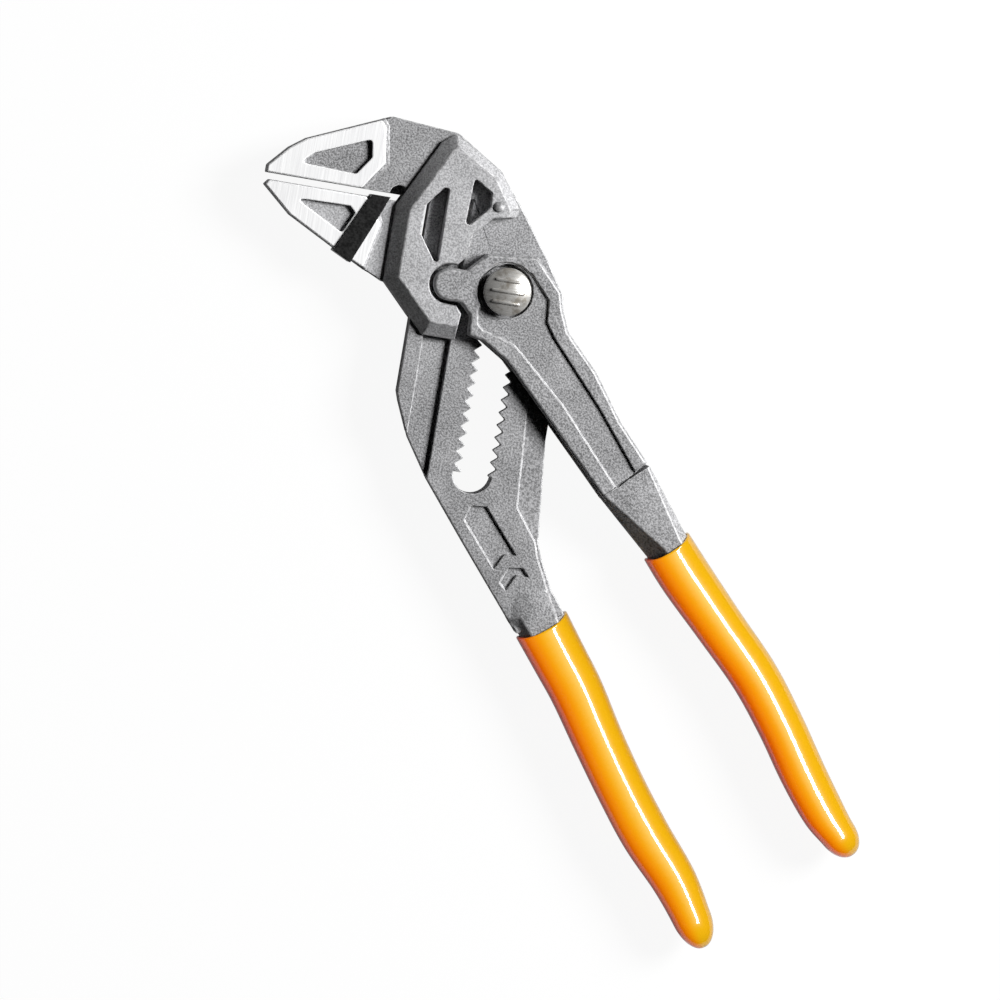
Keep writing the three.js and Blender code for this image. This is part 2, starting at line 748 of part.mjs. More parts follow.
function pivotLever() {
  const neckTop = KNUCKLE_Y + KNUCKLE_RADIUS;
  const neckLow = KNUCKLE_Y - KNUCKLE_RADIUS;
  const knuckle = arc(KNUCKLE_X, KNUCKLE_Y, KNUCKLE_RADIUS, 270, 90, ROUND_STEPS / 2);
  const outline = [
    ...LEVER_LOWER_EDGE,
    [KNUCKLE_X + 3.8, neckLow],
    ...knuckle,
    [KNUCKLE_X + 3.8, neckTop],
    ...LEVER_UPPER_EDGE,
  ];
  const edges = counterClockwise(outline);
  const breaks = edges.map(() => LEVER_EDGE_BREAK);
  let lever = plate(edges, -CHEEK_IN - FIT_GAP, CHEEK_IN + FIT_GAP).intersect(
    plate(ARM_CORE, -CHEEK_OUT, CHEEK_OUT),
  );
  SIDES.forEach((side) => {
    lever = lever.add(bevelledPlate(edges, breaks, CHEEK_IN, CHEEK_OUT - LEVER_EDGE_BREAK, CHEEK_OUT, side));
  });
  const fixedRings = gripRings(FIXED_STATIONS, FIXED_TIP, HANDLE_CLEARANCE);
  const mouthAlong = handleLine(FIXED_STATIONS, FIXED_TIP)(0).along;
  const runOut = fixedRings[0].map(([x, y, z]) => [
    x - mouthAlong.x * RELIEF_RUN_OUT,
    y - mouthAlong.y * RELIEF_RUN_OUT,
    z,
  ]);
  const relief = loft([runOut, ...fixedRings]).translate([0, ADJUST_TRAVEL, 0]);
  const line = handleLine(PIVOT_STATIONS, PIVOT_TIP);
  const step = new THREE.Vector3(
    (LEVER_UPPER_EDGE.at(-1)[0] + LEVER_LOWER_EDGE[0][0]) / 2,
    (LEVER_UPPER_EDGE.at(-1)[1] + LEVER_LOWER_EDGE[0][1]) / 2,
    0,
  );
  const stepHalf = Math.hypot(
    LEVER_UPPER_EDGE.at(-1)[0] - LEVER_LOWER_EDGE[0][0],
    LEVER_UPPER_EDGE.at(-1)[1] - LEVER_LOWER_EDGE[0][1],
  ) / 2;
  const stepPlace = { point: step, along: line(0).along };
  const slight = [LEVER_EDGE_BREAK, LEVER_EDGE_BREAK];
  const arm = [
    tangRing(stepPlace, stepHalf, SHOULDER_HALF, { left: slight, right: slight }),
    ...tangRings(PIVOT_STATIONS, PIVOT_TIP, 0, PIVOT_CHAMFERS),
  ];
  lever = lever.add(loft(arm)).subtract(relief);
  SIDES.forEach((side) => {
    const rim = CHEEK_OUT - PANEL_DEPTH;
    lever = lever.subtract(plate(rounded(LEVER_PANEL, 1), rim, SHOULDER_HALF + 1, side));
    const ring = circle(0, 0, BUTTON_RADIUS + BUTTON_PLAY + PANEL_MARGIN);
    lever = lever.subtract(plate(ring, rim, SHOULDER_HALF + 1, side));
  });
  lever = lever.subtract(
    drum(BUTTON_RADIUS + BUTTON_PLAY, CHEEK_IN + COUNTERBORE_FLOOR, SHOULDER_HALF + 1),
  );
  lever = lever.subtract(drum(STEM_RADIUS + BOLT_PLAY, 0, SHOULDER_HALF));
  return lever.subtract(drum(BOLT_DISC_RADIUS + BOLT_PLAY, -SHOULDER_HALF - 1, -BODY_HALF));
}

// Bolt set: the collar's teeth lie in the toothed layer until the button is pressed
const FLOOR_Z = CHEEK_IN + COUNTERBORE_FLOOR;
const SKIRT_Z = FLOOR_Z + FIT_GAP + PRESS_TRAVEL;
const CEILING_Z = SKIRT_Z + BUTTON_CAVITY;
const SOCKET_Z = CEILING_Z + BUTTON_SOCKET;

function hingeBolt() {
  const disc = drum(BOLT_DISC_RADIUS, -SHOULDER_HALF, -CHEEK_IN);
  const neck = drum(NECK_RADIUS, -CHEEK_IN - FIT_GAP, BODY_HALF - TOOTH_LAYER - SLIDE_GAP);
  const collar = plate(
    toothOutline(-COLLAR_STEPS, COLLAR_STEPS, TOOTH_PLAY),
    BODY_HALF - COLLAR_THICK,
    BODY_HALF,
  );
  const stem = drum(STEM_RADIUS, 0, SOCKET_Z - FIT_GAP);
  return disc.add(neck).add(collar).add(stem);
}

// Domed cup; raise lifts the dome for the ribs on its crown
function buttonDome(raise) {
  const top = SKIRT_Z + BUTTON_SKIRT;
  const dome = [];
  const steps = CORNER_STEPS * 3;
  for (let i = 0; i <= steps; i += 1) {
    const share = Math.sin((Math.PI / 2) * (1 - i / steps));
    dome.push([BUTTON_RADIUS * share, top + raise + BUTTON_DOME * (1 - share * share)]);
  }
  dome[dome.length - 1][0] = 0;
  return dome;
}

function pushButton() {
  const inner = BUTTON_RADIUS - BUTTON_WALL;
  const socket = STEM_RADIUS + FIT_GAP;
  const cup = turned([
    [0, SOCKET_Z],
    [socket, SOCKET_Z],
    [socket, CEILING_Z],
    [inner, CEILING_Z],
    [inner, SKIRT_Z],
    [BUTTON_RADIUS, SKIRT_Z],
    ...buttonDome(0),
  ]);
  const top = SKIRT_Z + BUTTON_SKIRT;
  const crown = turned([[0, top], [BUTTON_RADIUS, top], ...buttonDome(BUTTON_RIB_RAISE)]);
  let button = cup;
  [-1, 0, 1].forEach((place) => {
    const y = place * BUTTON_RIB_SPACING;
    const length = (BUTTON_RADIUS - BUTTON_RIB_WIDTH) * Math.sqrt(1 - (y / BUTTON_RADIUS) ** 2) - BUTTON_WALL;
    const low = y - BUTTON_RIB_WIDTH / 2;
    const high = y + BUTTON_RIB_WIDTH / 2;
    const bar = [[-length, low], [length, low], [length, high], [-length, high]];
    const rib = plate(rounded(bar, BUTTON_RIB_WIDTH / 2), SOCKET_Z + FIT_GAP, SOCKET_Z + BUTTON_DOME + 2);
    button = button.add(rib.intersect(crown));
  });
  return button;
}

function springWasher() {
  const outer = BUTTON_RADIUS - BUTTON_WALL - FIT_GAP * 3;
  const inner = STEM_RADIUS + BOLT_PLAY * 2;
  const low = FLOOR_Z + FIT_GAP;
  const high = low + WASHER_THICK;
  return turned([[inner, low], [outer, low], [outer, high], [inner, high], [inner, low]]);
}

// Conical spring, so that its turns nest inside each other when the button is pressed
class ConeHelix extends THREE.Curve {
  getPoint(share, target = new THREE.Vector3()) {
    const low = FLOOR_Z + FIT_GAP * 2 + WASHER_THICK + SPRING_WIRE / 2;
    const high = CEILING_Z - FIT_GAP - SPRING_WIRE / 2;
    const widest = BUTTON_RADIUS - BUTTON_WALL - FIT_GAP * 4 - SPRING_WIRE / 2;
    const narrowest = STEM_RADIUS + SPRING_PLAY + SPRING_WIRE / 2;
    const angle = 2 * Math.PI * SPRING_TURNS * share;
    const radius = THREE.MathUtils.lerp(widest, narrowest, share);
    const z = THREE.MathUtils.lerp(low, high, share);
    return target.set(radius * Math.cos(angle), radius * Math.sin(angle), z);
  }
}

const SPRING_STEPS_PER_TURN = 8;
const SPRING_SIDES = 5;

function buttonSpring() {
  const path = new ConeHelix();
  const wire = arc(0, 0, SPRING_WIRE / 2, 0, 360 - 360 / SPRING_SIDES, SPRING_SIDES - 1);
  const shape = new THREE.Shape(wire.map(([x, y]) => new THREE.Vector2(x, y)));
  const steps = SPRING_TURNS * SPRING_STEPS_PER_TURN;
  const points = path.getPoints(steps * 4);
  const perTurn = SPRING_STEPS_PER_TURN * 4;
  let least = Infinity;
  points.forEach((p, i) => {
    points.slice(i + perTurn / 2).forEach((q) => {
      least = Math.min(least, p.distanceTo(q) - SPRING_WIRE);
    });
  });
  console.log(`button spring: least gap to itself ${least.toFixed(2)} mm`);
  return solid(new THREE.ExtrudeGeometry(shape, { steps, extrudePath: path, bevelEnabled: false }));
}

// Flat band round the sliding jaw, leaning across its cheek side and lying in the jaw mouth
function jawBand() {
  const face = LOWER_FACE_Y + BAND_PLAY;
  const [start, end] = [LOWER_JAW_EDGE[2], LOWER_JAW_EDGE[1]].map((p) => new THREE.Vector2(...p));
  const along = end.clone().sub(start).normalize();
  const outward = new THREE.Vector2(along.y, -along.x);
  if (outward.y > 0) outward.negate();
  const edgeAt = (distance, x) => {
    const point = start.clone().addScaledVector(outward, distance);
    return point.y + ((x - point.x) * along.y) / along.x;
  };
  const spans = (distance, top, half, lean) => {
    const low = LOWER_JAW_EDGE[2][1];
    const lowX = BAND_TOP_X - lean * (LOWER_FACE_Y - low);
    return [
      [BAND_TOP_X - half, top],
      [lowX - half, edgeAt(distance, lowX - half)],
      [lowX + half, edgeAt(distance, lowX + half)],
      [BAND_TOP_X + half, top],
    ];
  };
  const half = BAND_WIDTH / 2;
  const inner = PAD_HALF + BAND_PLAY;
  const outer = inner + BAND_THICK;
  const band = plate(spans(BAND_PLAY + BAND_THICK, face + BAND_THICK, half, BAND_LEAN), -outer, outer);
  const hole = plate(spans(BAND_PLAY, face, BAND_WIDTH * 2, BAND_LEAN), -inner, inner);
  return band.subtract(hole);
}

const FORGED = { color: 0x7c7d7f, roughness: 0.55, metalness: 0.85 };
const GROUND = { color: 0xb9babb, roughness: 0.3, metalness: 0.95 };
const DIPPED = { color: 0xff8c00, roughness: 0.22, metalness: 0 };
const RUBBER = { color: 0x161617, roughness: 0.5, metalness: 0 };

const tool = new THREE.Group();

function addPiece(name, body, finish) {
  const mesh = body.getMesh();
  const geometry = new THREE.BufferGeometry();
  geometry.setAttribute('position', new THREE.BufferAttribute(mesh.vertProperties, 3));
  geometry.setIndex(new THREE.BufferAttribute(mesh.triVerts, 1));
  geometry.computeVertexNormals();
  const piece = new THREE.Mesh(geometry, new THREE.MeshStandardMaterial(finish));
  piece.name = name;
  tool.add(piece);
}

addPiece('fixed_jaw_lever', fixedJawLever(), FORGED);
addPiece('fixed_grip', grip(FIXED_STATIONS, FIXED_TIP, FIXED_CHAMFERS), DIPPED);
addPiece('sliding_jaw', slidingJaw(), FORGED);
addPiece('jaw_band', jawBand(), RUBBER);
addPiece('cheek_rivet', cheekRivet(), GROUND);
addPiece('pivot_lever', pivotLever(), FORGED);
addPiece('pivot_grip', grip(PIVOT_STATIONS, PIVOT_TIP, PIVOT_CHAMFERS), DIPPED);
addPiece('hinge_bolt', hingeBolt(), GROUND);
addPiece('push_button', pushButton(), GROUND);
addPiece('button_spring', buttonSpring(), GROUND);
addPiece('spring_washer', springWasher(), GROUND);

// The origin is the pivot axis, on the surface that the tool lies on
tool.position.set(0, 0, SHOULDER_HALF);
const wrench = new THREE.Group();
wrench.add(tool);

export default wrench;
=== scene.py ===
import math

import bmesh
import bpy
from mathutils import Matrix, Vector
from mathutils.bvhtree import BVHTree


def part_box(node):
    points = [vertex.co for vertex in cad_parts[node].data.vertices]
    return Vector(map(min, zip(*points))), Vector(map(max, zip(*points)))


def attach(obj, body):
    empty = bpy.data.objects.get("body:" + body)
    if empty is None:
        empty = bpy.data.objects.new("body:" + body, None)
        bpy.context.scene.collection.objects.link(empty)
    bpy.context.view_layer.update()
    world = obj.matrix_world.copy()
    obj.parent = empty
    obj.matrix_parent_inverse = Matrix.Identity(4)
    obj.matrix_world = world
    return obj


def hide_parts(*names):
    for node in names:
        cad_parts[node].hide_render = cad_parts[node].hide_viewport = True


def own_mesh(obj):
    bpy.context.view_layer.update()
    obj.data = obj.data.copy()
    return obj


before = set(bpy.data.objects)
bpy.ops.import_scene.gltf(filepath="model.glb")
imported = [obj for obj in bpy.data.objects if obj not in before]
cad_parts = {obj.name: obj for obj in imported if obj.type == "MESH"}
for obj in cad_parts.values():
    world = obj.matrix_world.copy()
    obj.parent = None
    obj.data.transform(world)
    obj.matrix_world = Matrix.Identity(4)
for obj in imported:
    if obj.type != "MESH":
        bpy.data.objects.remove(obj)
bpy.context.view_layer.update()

MM = 0.001
MID = 9.3
PAD_HALF = 5.3
UPPER_FACE_Y = 21.6
LOWER_FACE_Y = 19.8
JAW_ROOT_X = -37
FIXED_LINE = [
    (26, -90.6, 8),
    (32.7, -99.3, 7.75),
    (39.3, -107.9, 7.55),
    (47.6, -120.5, 7.2),
    (56.8, -133.6, 7.05),
    (65.6, -145, 7),
    (75.5, -156.1, 6.4),
    (82.6, -166.3, 5.5),
    (87.2, -173.7, 5.2),
]
PIVOT_LINE = [
    (57.2, -63.1, 7.3),
    (64.4, -71.1, 7.4),
    (76.1, -83, 7),
    (88.2, -95.3, 6.8),
    (98, -107.9, 6.6),
    (106.4, -120.1, 6.5),
    (114.2, -130.3, 6.1),
    (119.8, -136.1, 5.2),
    (124.8, -140.9, 5),
]
BUTTON_RADIUS = 6.7
BUTTON_WALL = 0.8
BUTTON_LOW = MID + 8.9
BUTTON_EDGE = MID + 10.9
BUTTON_DOME = 1.9
BUTTON_CEILING = BUTTON_LOW + 1.6
SOCKET_RADIUS = 3.05
SOCKET_TOP = BUTTON_CEILING + 1.1
RIB_COUNT = 3
RIB_SPACING = 3
RIB_RADIUS = 0.5
SPRING_WIRE = 0.3
SPRING_TURNS = 2.0
SPRING_HALVES = [5.2, 3.8]
FORGING_BREAK = 0.28
BAND_BREAK = 0.25
BOLT_BREAK = 0.15
RIVET_BREAK = 0.1
BREAK_ANGLE = math.radians(28)
SMOOTH_ANGLE = math.radians(34)
STRAY_SHARE = 0.5
TANGLE_LENGTH = 0.1
SAME_PLANE = 0.9999
AREA_SLACK = 1e-4
MERGE = 1e-6


# Node maths: a socket with operators, and one method for every other node
class Value:
    def __init__(self, tree, socket):
        self.tree = tree
        self.socket = socket

    def _math(self, operation, first, second=None):
        node = self.tree.nodes.new("ShaderNodeMath")
        node.operation = operation
        for slot, item in enumerate((first, second)):
            if isinstance(item, Value):
                self.tree.links.new(item.socket, node.inputs[slot])
            elif item is not None:
                node.inputs[slot].default_value = item
        return Value(self.tree, node.outputs[0])

    def __add__(self, other):
        return self._math("ADD", self, other)

    __radd__ = __add__

    def __sub__(self, other):
        return self._math("SUBTRACT", self, other)

    def __rsub__(self, other):
        return self._math("SUBTRACT", other, self)

    def __mul__(self, other):
        return self._math("MULTIPLY", self, other)

    def __truediv__(self, other):
        return self._math("DIVIDE", self, other)

    def __pow__(self, other):
        return self._math("POWER", self, other)

    def call(self, operation, other=None):
        return self._math(operation, self, other)

    def ramp(self, low, high, kind="LINEAR"):
        sockets = {"Value": self, "From Min": low, "From Max": high}
        return Graph(self.tree).node("ShaderNodeMapRange", {"interpolation_type": kind}, sockets)

    def smooth(self, low, high):
        return self.ramp(low, high, "SMOOTHSTEP")


class Graph:
    def __init__(self, tree):
        self.tree = tree

    def node(self, kind, settings=None, sockets=None, output=0):
        made = self.tree.nodes.new(kind)
        for name, value in (settings or {}).items():
            setattr(made, name, value)
        for name, value in (sockets or {}).items():
            socket = made.inputs[name]
            if isinstance(value, Value):
                self.tree.links.new(value.socket, socket)
            else:
                socket.default_value = value
        return Value(self.tree, made.outputs[output])

    def place(self):
        return self.node("ShaderNodeTexCoord", output="Object")

    def split(self, vector):
        made = self.tree.nodes.new("ShaderNodeSeparateXYZ")
        self.tree.links.new(vector.socket, made.inputs[0])
        return [Value(self.tree, out) for out in made.outputs]

    def stretch(self, vector, scale, turn=0.0):
        sockets = {"Vector": vector, "Scale": scale, "Rotation": (0, 0, turn)}
        return self.node("ShaderNodeMapping", {}, sockets)

    def noise(self, vector, scale, detail, roughness):
        sockets = {"Vector": vector, "Scale": scale, "Detail": detail, "Roughness": roughness}
        return self.node("ShaderNodeTexNoise", {}, sockets)

    def mix(self, factor, first, second):
        made = self.tree.nodes.new("ShaderNodeMix")
        made.data_type = "RGBA"
        colour_slots = {0: factor, 6: first, 7: second}
        for slot, item in colour_slots.items():
            if isinstance(item, Value):
                self.tree.links.new(item.socket, made.inputs[slot])
            else:
                made.inputs[slot].default_value = (*item, 1) if isinstance(item, tuple) else item
        return Value(self.tree, made.outputs[2])

    def vector(self, operation, first, second):
        made = self.tree.nodes.new("ShaderNodeVectorMath")
        made.operation = operation
        slot = 3 if operation == "SCALE" else 1
        for place, item in ((0, first), (slot, second)):
            if isinstance(item, Value):
                self.tree.links.new(item.socket, made.inputs[place])
            else:
                made.inputs[place].default_value = item
        return Value(self.tree, made.outputs["Value" if operation == "DOT_PRODUCT" else "Vector"])

    def combine(self, x, y, z):
        return self.node("ShaderNodeCombineXYZ", {}, {"X": x, "Y": y, "Z": z})

    def bump(self, height, strength, distance):
        sockets = {"Height": height, "Strength": strength, "Distance": distance}
        return self.node("ShaderNodeBump", {}, sockets)


def finish(name, build):
    material = bpy.data.materials.new(name)
    material.use_nodes = True
    tree = material.node_tree
    surface = tree.nodes["Principled BSDF"]
    for socket, value in build(Graph(tree)).items():
        if isinstance(value, Value):
            tree.links.new(value.socket, surface.inputs[socket])
        elif isinstance(value, tuple):
            surface.inputs[socket].default_value = (*value, 1)
        else:
            surface.inputs[socket].default_value = value
    return material


def blasted_steel(dark, light, depth):
    def build(s):
        place = s.place()
        grain = s.noise(place, 1900.0, 2.0, 0.65)
        patch = s.noise(place, 90.0, 3.0, 0.6)
        pits = s.noise(place, 1000.0, 1.0, 0.5)
        tone = grain.smooth(0.36, 0.64) * 0.75 + patch.smooth(0.3, 0.7) * 0.25
        height = grain * 0.65 + pits * 0.35
        return {
            "Base Color": s.mix(tone, (dark, dark, dark * 1.02), (light, light, light * 1.02)),
            "Metallic": 0.3,
            "Roughness": grain.smooth(0.2, 0.8) * 0.15 + 0.6,
            "Specular IOR Level": 0.2,
            "Normal": s.bump(height, depth, 0.0003),
        }
    return build


def ground_steel(s):
    place = s.place()
    streak = s.noise(s.stretch(place, (2600.0, 60.0, 60.0)), 1.0, 4.0, 0.6)
    cloud = s.noise(place, 45.0, 3.0, 0.6)
    tone = streak.smooth(0.3, 0.7) * 0.6 + cloud.smooth(0.3, 0.7) * 0.4
    return {
        "Base Color": s.mix(tone, (0.84, 0.84, 0.85), (1.0, 1.0, 1.0)),
        "Metallic": 0.2,
        "Roughness": streak.smooth(0.25, 0.75) * 0.16 + 0.26,
        "Normal": s.bump(streak, 0.12, 0.0002),
    }


# Rubbed steel for broken edges, rivet and bolt. It is lighter than the forged finish, so on the
# broken edges it is wear and also a painted edge highlight.
def worn_steel_and_sheen(s):
    grain = s.noise(s.place(), 900.0, 2.0, 0.6)
    return {
        "Base Color": s.mix(grain.smooth(0.3, 0.7), (0.2, 0.2, 0.204), (0.48, 0.48, 0.486)),
        "Metallic": 0.3,
        "Roughness": grain.smooth(0.2, 0.8) * 0.15 + 0.5,
        "Specular IOR Level": 0.3,
        "Normal": s.bump(grain, 0.15, 0.0002),
    }


def polished_steel(s):
    place = s.place()
    stain = s.noise(place, 260.0, 4.0, 0.65)
    scratch = s.noise(s.stretch(place, (90.0, 1800.0, 90.0), 0.5), 1.0, 2.0, 0.5)
    tone = stain.smooth(0.5, 0.68)
    return {
        "Base Color": s.mix(tone, (0.54, 0.53, 0.51), (0.26, 0.24, 0.21)),
        "Metallic": 0.55,
        "Roughness": tone * 0.1 + scratch.smooth(0.3, 0.7) * 0.06 + 0.24,
        "Normal": s.bump(scratch, 0.04, 0.0001),
    }


# Dipped vinyl. The stored across value turns the colour from yellow-orange on one side of the sleeve
# to deep red-orange on the other: painted shade.
def dipped_vinyl(s):
    place = s.place()
    flow = s.noise(place, 38.0, 2.0, 0.5)
    speck = s.noise(place, 650.0, 2.0, 0.5)
    lit_side = s.node("ShaderNodeAttribute", {"attribute_name": "lit_side"}, output="Fac") + flow * 0.2
    # Painted shade: deep red-orange towards one edge of the sleeve, darkest at the very edge.
    deep = s.mix(lit_side.smooth(-1.0, -0.5), (0.85, 0.03, 0.0), (1.0, 0.2, 0.0))
    return {
        "Base Color": s.mix(lit_side.smooth(-0.8, 0.25), deep, (0.95, 0.5, 0.004)),
        "Roughness": speck.smooth(0.2, 0.8) * 0.05 + 0.25,
        "Specular IOR Level": 0.25,
        "Coat Weight": 1.0,
        "Coat Roughness": 0.03,
        "Coat IOR": 1.6,
        "Normal": s.bump(flow * 0.8 + speck * 0.03, 0.05, 0.0006),
    }


def satin_rubber(s):
    place = s.place()
    skin = s.noise(place, 1400.0, 2.0, 0.5)
    return {
        "Base Color": s.mix(skin.smooth(0.3, 0.7), (0.01, 0.01, 0.01), (0.024, 0.024, 0.024)),
        "Roughness": skin.smooth(0.2, 0.8) * 0.1 + 0.12,
        "Specular IOR Level": 0.8,
        "Normal": s.bump(skin, 0.12, 0.0002),
    }


FORGED = finish("forged_steel", blasted_steel(0.13, 0.43, 0.6))
PLATE = finish("plate_steel", blasted_steel(0.25, 0.54, 0.45))
GROUND = finish("ground_steel", ground_steel)
WORN_AND_SHEEN = finish("worn_steel_and_sheen", worn_steel_and_sheen)
POLISHED = finish("polished_steel", polished_steel)
VINYL = finish("dipped_vinyl", dipped_vinyl)
RUBBER = finish("satin_rubber", satin_rubber)


# Plain mesh of a piece with its modifiers made real
def applied(piece):
    view = bpy.context.evaluated_depsgraph_get()
    done = bpy.data.meshes.new_from_object(piece.evaluated_get(view))
    piece.modifiers.clear()
    piece.data = done
    return done


# Sets of faces that join along edges and lie in one plane
def planes(faces):
    waiting = dict.fromkeys(faces)
    while waiting:
        seed = next(iter(waiting))
        del waiting[seed]
        plane = {seed: True}
        front = [seed]
        while front:
            for line in front.pop().edges:
                for other in line.link_faces:
                    if other in waiting and abs(other.normal.dot(seed.normal)) > SAME_PLANE:
                        del waiting[other]
                        plane[other] = True
                        front.append(other)
        yield plane


# Summed normal of some faces, as long as their area
def facing(faces):
    return sum((face.normal * face.calc_area() for face in faces), Vector())


# Two close corners that the edge break put in the wrong order along a rim change places
def untangled(rim):
    beside = {corner: [] for line in rim for corner in line.verts}
    for line in rim:
        for corner in line.verts:
            beside[corner].append(line.other_vert(corner))
    for line in rim:
        one, two = line.verts
        before = next(corner for corner in beside[one] if corner != two)
        after = next(corner for corner in beside[two] if corner != one)
        backward = (two.co - one.co).dot(after.co - before.co) < 0
        if backward and line.calc_length() < TANGLE_LENGTH * MM:
            one.co, two.co = two.co.copy(), one.co.copy()
    return list(beside)


# A plane with a facet that the edge break folded over is laid again inside its own outline,
# if the new facets have its area, shut along the outline and cross no other edge of the solid
def relaid(work):
    for plane in list(planes(face for face in work.faces if face.material_index == 0)):
        outward = facing(plane)
        if all(face.normal.dot(outward) > 0 for face in plane):
            continue
        sides = dict.fromkeys(line for face in plane for line in face.edges)
        rim = [line for line in sides if sum(face in plane for face in line.link_faces) == 1]
        spare = bmesh.new()
        twin = {corner: spare.verts.new(corner.co) for corner in untangled(rim)}
        own = {new: old for old, new in twin.items()}
        outline = [spare.edges.new([twin[corner] for corner in line.verts]) for line in rim]
        bmesh.ops.triangle_fill(spare, use_beauty=True, edges=outline, normal=outward.normalized())
        bmesh.ops.recalc_face_normals(spare, faces=spare.faces)
        on_outline = set(outline)
        inner = [line for line in spare.edges if line not in on_outline and line.link_faces]
        shut = all(len(line.link_faces) == 1 for line in outline)
        shut = shut and all(line.is_contiguous for line in inner)
        known = [work.edges.get([own[corner] for corner in line.verts]) for line in inner]
        clear = all(face in plane for line in known if line for face in line.link_faces)
        area = sum(face.calc_area() for face in spare.faces)
        if shut and clear and abs(area - outward.length) < AREA_SLACK * area:
            order = 1 if facing(spare.faces).dot(outward) > 0 else -1
            rings = [[own[corner] for corner in face.verts][::order] for face in spare.faces]
            bmesh.ops.delete(work, geom=list(plane), context="FACES")
            for ring in rings:
                work.faces.new(ring).normal_update()
        spare.free()


# Copy of a solid with its sharp edges broken. A corner that the break throws wide goes back to
# the solid's skin
def dressed(node, name, edge_break, main, edge, ground=None):
    mesh = bpy.data.meshes.new(name)
    work = bmesh.new()
    work.from_mesh(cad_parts[node].data)
    bmesh.ops.remove_doubles(work, verts=work.verts, dist=MERGE)
    skin = BVHTree.FromBMesh(work)
    work.to_mesh(mesh)
    work.free()
    mesh.materials.clear()
    mesh.materials.append(main)
    mesh.materials.append(edge)
    for face in mesh.polygons:
        face.material_index = 0
    piece = bpy.data.objects.new(name, mesh)
    bpy.context.scene.collection.objects.link(piece)
    bevel = piece.modifiers.new("edge_break", "BEVEL")
    bevel.width = edge_break * MM
    bevel.segments = 2
    bevel.limit_method = "ANGLE"
    bevel.angle_limit = BREAK_ANGLE
    bevel.use_clamp_overlap = False
    # Broken edges take the second finish; on the forgings it is lighter, which is wear plus a
    # painted edge highlight.
    bevel.material = 1
    bevel.miter_outer = "MITER_ARC"
    bevel.loop_slide = False
    done = applied(piece)
    work = bmesh.new()
    work.from_mesh(done)
    for corner in work.verts:
        spot, _, _, gap = skin.find_nearest(corner.co)
        if gap > STRAY_SHARE * edge_break * MM:
            corner.co = spot
    work.normal_update()
    relaid(work)
    for face in work.faces:
        face.smooth = True
    for line in work.edges:
        one_finish = len({face.material_index for face in line.link_faces}) == 1
        line.smooth = one_finish and line.calc_face_angle(0) < SMOOTH_ANGLE
    work.to_mesh(done)
    work.free()
    if ground:
        done.materials.append(ground)
        for face in done.polygons:
            if is_ground(face.center / MM, face.normal):
                face.material_index = 2
    return piece


# Ground faces: the raised sides of both jaws with their rims, and the gripping faces between them
def is_ground(centre, normal):
    rim_depth = 0.25
    raised = abs(abs(centre.z - MID) - PAD_HALF) < rim_depth and abs(normal.z) > 0.3
    level = min(abs(centre.y - UPPER_FACE_Y), abs(centre.y - LOWER_FACE_Y))
    gripping = level < 0.05 and abs(normal.y) > 0.9
    return centre.x < JAW_ROOT_X and (raised or gripping)


# Chain of points with a half width at each, for a node group to follow
def chain(name, points, halves):
    mesh = bpy.data.meshes.new(name)
    mesh.from_pydata(points, [(i, i + 1) for i in range(len(points) - 1)], [])
    half = mesh.attributes.new("half", "FLOAT", "POINT")
    half.data.foreach_set("value", halves)
    return mesh


# Plain mesh that a node group grows from a chain of points
def grown(name, mesh, build, inputs, material):
    tree = bpy.data.node_groups.new(name, "GeometryNodeTree")
    tree.interface.new_socket("Geometry", in_out="INPUT", socket_type="NodeSocketGeometry")
    identifiers = {}
    for label in inputs:
        socket = tree.interface.new_socket(label, in_out="INPUT", socket_type="NodeSocketFloat")
        identifiers[label] = socket.identifier
    tree.interface.new_socket("Geometry", in_out="OUTPUT", socket_type="NodeSocketGeometry")
    start = tree.nodes.new("NodeGroupInput")
    given = {out.name: Value(tree, out) for out in start.outputs if out.name}
    graph = Graph(tree)
    shape = graph.node("GeometryNodeRealizeInstances", {}, {"Geometry": build(graph, given)})
    shape = graph.node("GeometryNodeSetShadeSmooth", {}, {"Geometry": shape, "Shade Smooth": True})
    shape = graph.node("GeometryNodeSetMaterial", {}, {"Geometry": shape, "Material": material})
    tree.links.new(shape.socket, tree.nodes.new("NodeGroupOutput").inputs[0])
    piece = bpy.data.objects.new(name, mesh)
    bpy.context.scene.collection.objects.link(piece)
    modifier = piece.modifiers.new("grown", "NODES")
    modifier.node_group = tree
    for label, value in inputs.items():
        modifier[identifiers[label]] = value
    applied(piece)
    return piece


# Sheet of points: u runs down the sheet and v goes round it
def sheet(g, down, about):
    sockets = {"Size X": 1.0, "Size Y": 1.0, "Vertices X": down, "Vertices Y": about}
    flat = g.node("GeometryNodeFlipFaces", {}, {"Mesh": g.node("GeometryNodeMeshGrid", {}, sockets)})
    u, v, _ = g.split(g.node("GeometryNodeInputPosition"))
    return flat, u + 0.5, (v + 0.5) * math.tau


def rounded_off(wave):
    return wave.call("SIGN") * wave.call("ABSOLUTE") ** 0.75


